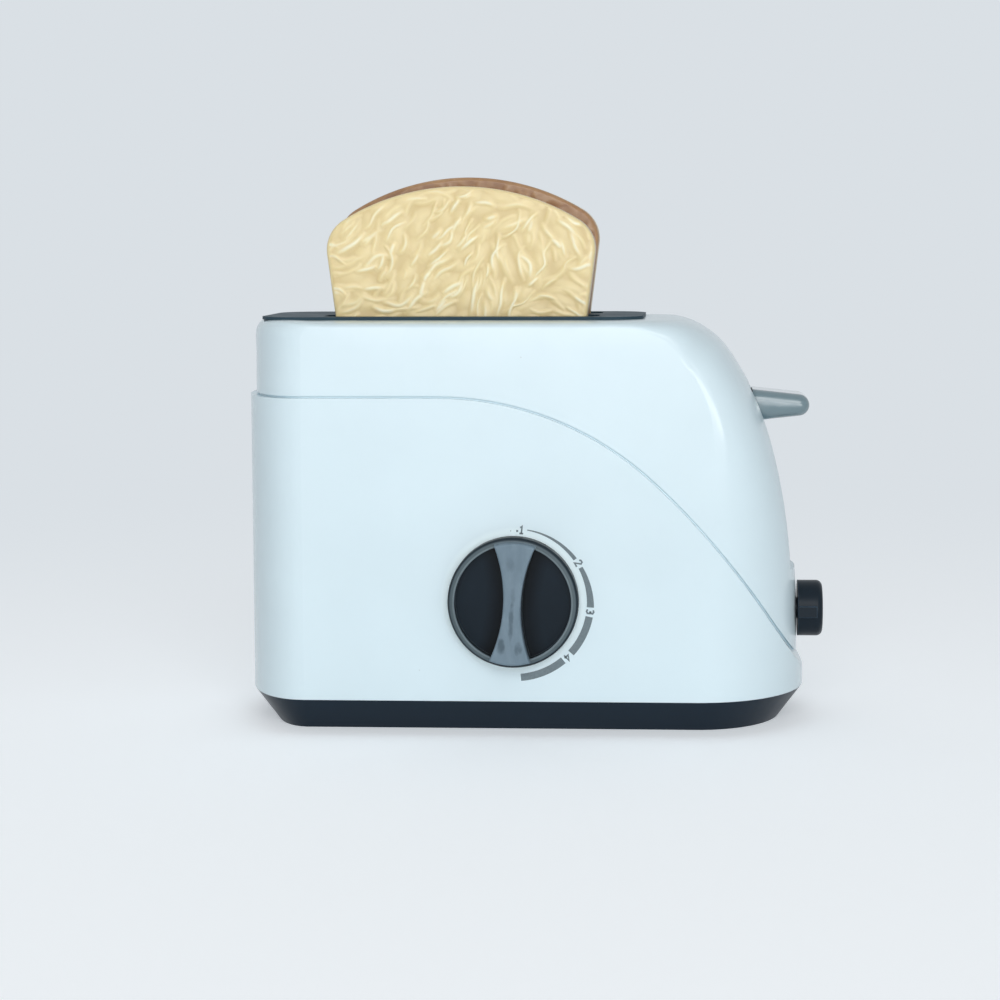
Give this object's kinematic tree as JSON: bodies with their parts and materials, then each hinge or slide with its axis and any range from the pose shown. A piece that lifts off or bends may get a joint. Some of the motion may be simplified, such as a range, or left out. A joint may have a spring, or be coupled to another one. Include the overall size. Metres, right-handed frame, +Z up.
{
  "type": "toy toaster",
  "caption": "Pretend-play toaster with a push-down lever, two pop-up bread slices, a browning dial, a wind-up timer knob and a bell.",
  "frame": {"origin": "centre of the footprint on the tray's flat underside, which stands on the table", "axes": "+Z up, the front with the browning dial faces -Y, the lever and the timer knob are at the +X end"},
  "size_m": [0.2175, 0.0959, 0.2047],
  "materials": {
    "shell_white": "glossy cool white",
    "plate_grey": "satin mid grey",
    "base_grey": "satin dark grey",
    "lever_grey": "metallic silver-grey",
    "knob_dark": "satin charcoal",
    "dial_dark": "satin charcoal with a lighter grip",
    "bread_cream": "soft cream",
    "bread_toast": "toasted brown",
    "liner_dark": "dark grey",
    "carriage_dark": "dark grey",
    "steel": "bright zinc",
    "spring_steel": "drawn wire",
    "bell_steel": "polished",
    "gear_white": "natural white",
    "brass": "turned",
    "stop_rubber": "soft black"
  },
  "bodies": {
    "casing": {"front_shell": "shell_white", "rear_shell": "shell_white", "slot_plate": "plate_grey", "base_tray": "base_grey", "base_screws": "steel", "shell_screws": "steel", "well_screws": "steel", "front_bread_well": "liner_dark", "rear_bread_well": "liner_dark", "front_guide_rod": "steel", "rear_guide_rod": "steel", "front_lift_spring": "spring_steel", "rear_lift_spring": "spring_steel", "rod_bracket": "steel", "bracket_screws": "steel", "bump_stops": "stop_rubber", "rod_clips": "spring_steel", "latch_pin": "steel", "latch_spring": "spring_steel", "mainspring": "spring_steel", "timer_inner_plate": "steel", "timer_outer_plate": "steel", "timer_pillars": "steel", "timer_screws": "steel", "bell": "bell_steel", "bell_screw": "steel", "hammer_pin": "steel", "hammer_spring": "spring_steel", "click_spring": "spring_steel", "click_screw": "steel"},
    "lift": {"carriage": "carriage_dark", "lever_handle": "lever_grey", "lever_screw": "steel"},
    "front_bread": {"front_slice_cream": "bread_cream", "front_slice_toasted": "bread_toast"},
    "rear_bread": {"rear_slice_cream": "bread_cream", "rear_slice_toasted": "bread_toast"},
    "winder": {"timer_knob": "knob_dark", "timer_shaft": "steel", "release_cam": "gear_white", "main_gear": "brass"},
    "second_arbor": {"second_gear": "gear_white"},
    "escape_arbor": {"escape_wheel": "brass"},
    "rocker": {"pallet": "gear_white"},
    "latch": {"latch_lever": "gear_white"},
    "hammer": {"bell_hammer": "gear_white"},
    "dial": {"browning_dial": "dial_dark", "click_wheel": "gear_white", "dial_screw": "steel"}
  },
  "joints": [
    {"name": "lift_slide", "type": "slide", "parent": "casing", "child": "lift", "axis": [0, 0, 1], "range_m": [-0.05, 0], "stiffness_N_per_m": 160, "springref_m": 0.02, "deforming": ["front_lift_spring", "rear_lift_spring"]},
    {"name": "front_bread_slide", "type": "slide", "parent": "lift", "child": "front_bread", "axis": [0, 0, 1], "range_m": [0, 0.06]},
    {"name": "rear_bread_slide", "type": "slide", "parent": "lift", "child": "rear_bread", "axis": [0, 0, 1], "range_m": [0, 0.06]},
    {"name": "timer_turn", "type": "hinge", "parent": "casing", "child": "winder", "pos_m": [0.08, 0, 0.0403], "axis": [-1, 0, 0], "range_deg": [0, 270], "stiffness_Nm_per_rad": 0.003, "springref_deg": -28.65},
    {"name": "second_turn", "type": "hinge", "parent": "casing", "child": "second_arbor", "pos_m": [0.078, -0.01098, 0.02852], "axis": [-1, 0, 0], "range_deg": [-980, 10]},
    {"name": "escape_turn", "type": "hinge", "parent": "casing", "child": "escape_arbor", "pos_m": [0.08, 0.00453, 0.02422], "axis": [-1, 0, 0], "range_deg": [-10, 3510]},
    {"name": "rocker_swing", "type": "hinge", "parent": "casing", "child": "rocker", "pos_m": [0.082, 0.01703, 0.02422], "axis": [-1, 0, 0], "range_deg": [-3, 3]},
    {"name": "latch_swing", "type": "hinge", "parent": "casing", "child": "latch", "pos_m": [0.062, 0.011, 0.024], "axis": [0, -1, 0], "range_deg": [0, 6], "stiffness_Nm_per_rad": 0.02},
    {"name": "hammer_swing", "type": "hinge", "parent": "casing", "child": "hammer", "pos_m": [0.038, 0, 0.008], "axis": [0, 1, 0], "range_deg": [-4, 12], "stiffness_Nm_per_rad": 0.02},
    {"name": "dial_turn", "type": "hinge", "parent": "casing", "child": "dial", "pos_m": [-0.0019, -0.043, 0.0494], "axis": [0, 1, 0], "range_deg": [0, 172]}
  ],
  "couplings": [
    {"joint": "second_turn", "follows": "timer_turn", "ratio": -3.6},
    {"joint": "escape_turn", "follows": "timer_turn", "ratio": 12.96}
  ]
}
